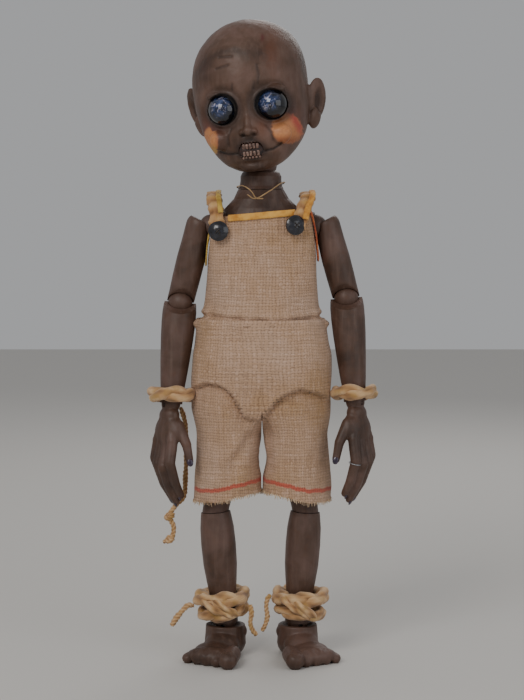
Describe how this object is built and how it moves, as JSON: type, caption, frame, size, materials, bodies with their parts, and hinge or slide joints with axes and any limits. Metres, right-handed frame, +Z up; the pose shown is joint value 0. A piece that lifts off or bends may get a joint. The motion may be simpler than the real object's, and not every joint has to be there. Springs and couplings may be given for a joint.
{
  "type": "strung ball-jointed doll",
  "caption": "Standing strung ball-jointed doll with a bald head, glass eyes, large hands, bare feet and a hessian romper.",
  "frame": {"origin": "centre of the doll's footprint, on the floor under its soles", "axes": "+Z up through the head, -Y the way the doll faces, +X towards the doll's own left"},
  "size_m": [0.2127, 0.1256, 0.6006],
  "materials": {
    "resin": "satin cast resin, painted dark brown",
    "hessian": "coarse plain weave",
    "cotton_strip": "twisted strips of cotton",
    "binding": "woven tape, orange-yellow",
    "button": "polished",
    "eye_glass": "blown glass, mirror bright with a dark marbled blue",
    "wax": "matt",
    "tooth": "satin",
    "steel": "drawn wire",
    "elastic": "braided",
    "magnet": "nickel plate"
  },
  "bodies": {
    "torso": {"torso": "resin", "torso_elastics": "elastic", "romper_bib": "hessian", "romper_hips": "hessian", "romper_bindings": "binding", "strap_r": "cotton_strip", "strap_l": "cotton_strip", "strap_buttons": "button"},
    "neck": {"neck": "resin", "neck_cord": "cotton_strip"},
    "head": {"head_face": "resin", "head_cap": "resin", "cap_magnets": "magnet", "eye_r": "eye_glass", "eye_l": "eye_glass", "eye_wax": "wax", "teeth": "tooth", "neck_hook": "steel"},
    "shoulder_r": {"shoulder_ball_r": "resin"},
    "upper_arm_r": {"upper_arm_r": "resin", "upper_arm_elastic_r": "elastic"},
    "forearm_r": {"forearm_r": "resin", "forearm_elastic_r": "elastic", "elbow_ball_r": "resin", "wrist_wrap_r": "cotton_strip", "wrist_tail_r": "cotton_strip"},
    "wrist_r": {"wrist_hook_r": "steel"},
    "hand_r": {"hand_r": "resin"},
    "thigh_r": {"hip_ball_r": "resin", "thigh_r": "resin", "thigh_elastic_r": "elastic", "romper_leg_r": "hessian"},
    "shin_r": {"shin_r": "resin", "shin_elastic_r": "elastic", "knee_ball_r": "resin", "ankle_wrap_r": "cotton_strip", "ankle_tails_r": "cotton_strip"},
    "ankle_r": {"ankle_hook_r": "steel"},
    "foot_r": {"foot_r": "resin"},
    "shoulder_l": {"shoulder_ball_l": "resin"},
    "upper_arm_l": {"upper_arm_l": "resin", "upper_arm_elastic_l": "elastic"},
    "forearm_l": {"forearm_l": "resin", "forearm_elastic_l": "elastic", "elbow_ball_l": "resin", "wrist_wrap_l": "cotton_strip"},
    "wrist_l": {"wrist_hook_l": "steel"},
    "hand_l": {"hand_l": "resin", "finger_ring_l": "steel"},
    "thigh_l": {"hip_ball_l": "resin", "thigh_l": "resin", "thigh_elastic_l": "elastic", "romper_leg_l": "hessian"},
    "shin_l": {"shin_l": "resin", "shin_elastic_l": "elastic", "knee_ball_l": "resin", "ankle_wrap_l": "cotton_strip", "ankle_tail_l": "cotton_strip"},
    "ankle_l": {"ankle_hook_l": "steel"},
    "foot_l": {"foot_l": "resin"}
  },
  "joints": [
    {"name": "neck_turn", "type": "hinge", "parent": "torso", "child": "neck", "pos_m": [-0.004, 0.004, 0.443], "axis": [0, 0, 1], "range_deg": [-60, 60]},
    {"name": "head_nod", "type": "hinge", "parent": "neck", "child": "head", "pos_m": [-0.004, 0.004, 0.466], "axis": [1, 0, 0], "range_deg": [-20, 18]},
    {"name": "shoulder_swing_r", "type": "hinge", "parent": "torso", "child": "shoulder_r", "pos_m": [-0.051, 0.001, 0.409], "axis": [-1, 0, 0], "range_deg": [0, 150]},
    {"name": "shoulder_raise_r", "type": "hinge", "parent": "shoulder_r", "child": "upper_arm_r", "pos_m": [-0.051, 0.001, 0.409], "axis": [0, 1, 0], "range_deg": [0, 60]},
    {"name": "elbow_bend_r", "type": "hinge", "parent": "upper_arm_r", "child": "forearm_r", "pos_m": [-0.08, 0.004, 0.337], "axis": [-0.996, 0, 0.0891], "range_deg": [0, 75]},
    {"name": "wrist_twist_r", "type": "hinge", "parent": "forearm_r", "child": "wrist_r", "pos_m": [-0.0885, -0.009, 0.242], "axis": [-0.0883, -0.135, -0.9869], "range_deg": [-20, 20]},
    {"name": "wrist_bend_r", "type": "hinge", "parent": "wrist_r", "child": "hand_r", "pos_m": [-0.0885, -0.009, 0.242], "axis": [-0.6227, 0.7808, -0.0511], "range_deg": [0, 35]},
    {"name": "hip_swing_r", "type": "hinge", "parent": "torso", "child": "thigh_r", "pos_m": [-0.03, 0.002, 0.252], "axis": [-1, 0, 0], "range_deg": [-10, 60]},
    {"name": "knee_bend_r", "type": "hinge", "parent": "thigh_r", "child": "shin_r", "pos_m": [-0.047, 0, 0.139], "axis": [0.9965, 0, 0.0838], "range_deg": [0, 75]},
    {"name": "ankle_twist_r", "type": "hinge", "parent": "shin_r", "child": "ankle_r", "pos_m": [-0.038, 0.003, 0.032], "axis": [0.0838, 0.0279, -0.9961], "range_deg": [-15, 35]},
    {"name": "ankle_pitch_r", "type": "hinge", "parent": "ankle_r", "child": "foot_r", "pos_m": [-0.038, 0.003, 0.032], "axis": [0.9563, -0.2924, 0], "range_deg": [-15, 20]},
    {"name": "shoulder_swing_l", "type": "hinge", "parent": "torso", "child": "shoulder_l", "pos_m": [0.047, 0.001, 0.409], "axis": [-1, 0, 0], "range_deg": [0, 150]},
    {"name": "shoulder_raise_l", "type": "hinge", "parent": "shoulder_l", "child": "upper_arm_l", "pos_m": [0.047, 0.001, 0.409], "axis": [0, -1, 0], "range_deg": [0, 60]},
    {"name": "elbow_bend_l", "type": "hinge", "parent": "upper_arm_l", "child": "forearm_l", "pos_m": [0.0765, 0.004, 0.341], "axis": [-0.9966, 0, -0.0822], "range_deg": [0, 75]},
    {"name": "wrist_twist_l", "type": "hinge", "parent": "forearm_l", "child": "wrist_l", "pos_m": [0.0845, -0.009, 0.244], "axis": [0.0815, -0.1324, -0.9878], "range_deg": [-20, 20]},
    {"name": "wrist_bend_l", "type": "hinge", "parent": "wrist_l", "child": "hand_l", "pos_m": [0.0845, -0.009, 0.244], "axis": [-0.6222, -0.7811, 0.0534], "range_deg": [0, 35]},
    {"name": "hip_swing_l", "type": "hinge", "parent": "torso", "child": "thigh_l", "pos_m": [0.024, 0.002, 0.252], "axis": [-1, 0, 0], "range_deg": [-10, 60]},
    {"name": "knee_bend_l", "type": "hinge", "parent": "thigh_l", "child": "shin_l", "pos_m": [0.038, 0, 0.139], "axis": [0.9979, 0, -0.0653], "range_deg": [0, 75]},
    {"name": "ankle_twist_l", "type": "hinge", "parent": "shin_l", "child": "ankle_l", "pos_m": [0.031, 0.003, 0.032], "axis": [0.0653, -0.028, 0.9975], "range_deg": [-15, 35]},
    {"name": "ankle_pitch_l", "type": "hinge", "parent": "ankle_l", "child": "foot_l", "pos_m": [0.031, 0.003, 0.032], "axis": [0.9563, 0.2924, 0], "range_deg": [-15, 20]}
  ]
}
